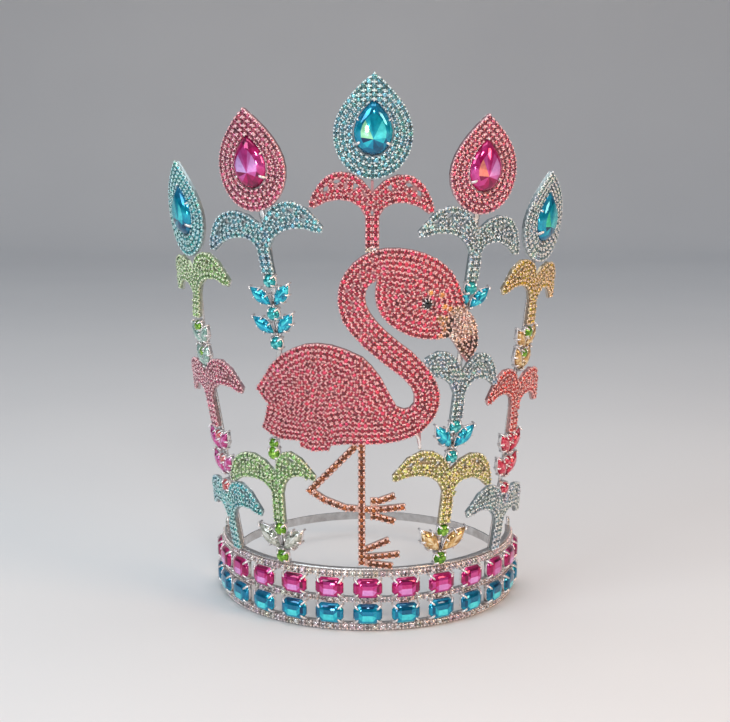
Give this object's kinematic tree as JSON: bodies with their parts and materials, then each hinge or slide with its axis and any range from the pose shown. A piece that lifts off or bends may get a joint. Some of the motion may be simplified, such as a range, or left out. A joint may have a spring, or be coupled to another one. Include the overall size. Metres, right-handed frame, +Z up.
{
  "type": "rhinestone crown",
  "caption": "Tall pageant crown on a two-row stone band, with crystal palm trees, leaf sprays, teardrops and a wading flamingo, open at the back.",
  "frame": {"origin": "centre of the crown's bounding box, on the surface that the band stands on", "axes": "+Z up, -Y towards the front of the crown, +X towards the viewer's right"},
  "size_m": [0.1886, 0.1908, 0.2657],
  "materials": {
    "silver_plate": "bright silver plating with clear crystals",
    "fuchsia_glass": "foil-backed cut glass, fuchsia",
    "aqua_glass": "foil-backed cut glass, aqua",
    "sky_pave": "close-set small pale blue rhinestones in silver cups",
    "green_pave": "close-set small light green rhinestones in silver cups",
    "yellow_pave": "close-set small yellow-green rhinestones in silver cups",
    "pink_pave": "close-set small pink rhinestones in silver cups",
    "rose_pave": "close-set small light pink rhinestones in silver cups",
    "red_pave": "close-set small coral red rhinestones in silver cups",
    "amber_pave": "single rows of amber rhinestones in square rose-silver cups"
  },
  "bodies": {
    "root": {"band_frame": "silver_plate", "back_strap": "silver_plate", "upright_far_left": "silver_plate", "upright_left": "silver_plate", "upright_right": "silver_plate", "upright_far_right": "silver_plate", "octagon_pink_01": "fuchsia_glass", "octagon_pink_02": "fuchsia_glass", "octagon_pink_03": "fuchsia_glass", "octagon_pink_04": "fuchsia_glass", "octagon_pink_05": "fuchsia_glass", "octagon_pink_06": "fuchsia_glass", "octagon_pink_07": "fuchsia_glass", "octagon_pink_08": "fuchsia_glass", "octagon_pink_09": "fuchsia_glass", "octagon_pink_10": "fuchsia_glass", "octagon_pink_11": "fuchsia_glass", "octagon_pink_12": "fuchsia_glass", "octagon_pink_13": "fuchsia_glass", "octagon_blue_01": "aqua_glass", "octagon_blue_02": "aqua_glass", "octagon_blue_03": "aqua_glass", "octagon_blue_04": "aqua_glass", "octagon_blue_05": "aqua_glass", "octagon_blue_06": "aqua_glass", "octagon_blue_07": "aqua_glass", "octagon_blue_08": "aqua_glass", "octagon_blue_09": "aqua_glass", "octagon_blue_10": "aqua_glass", "octagon_blue_11": "aqua_glass", "octagon_blue_12": "aqua_glass", "octagon_blue_13": "aqua_glass", "palm_far_left_low": "sky_pave", "palm_far_left_middle": "rose_pave", "palm_far_left_high": "green_pave", "palm_left_low": "green_pave", "palm_left_high": "sky_pave", "palm_centre": "pink_pave", "palm_right_low": "yellow_pave", "palm_right_middle": "sky_pave", "palm_right_high": "sky_pave", "palm_far_right_low": "sky_pave", "palm_far_right_middle": "red_pave", "palm_far_right_high": "yellow_pave", "teardrop_far_left": "sky_pave", "pear_far_left": "aqua_glass", "teardrop_left": "rose_pave", "pear_left": "fuchsia_glass", "teardrop_centre": "sky_pave", "pear_centre": "aqua_glass", "teardrop_right": "rose_pave", "pear_right": "fuchsia_glass", "teardrop_far_right": "sky_pave", "pear_far_right": "aqua_glass", "flamingo": "pink_pave", "flamingo_legs": "amber_pave"}
  },
  "joints": []
}
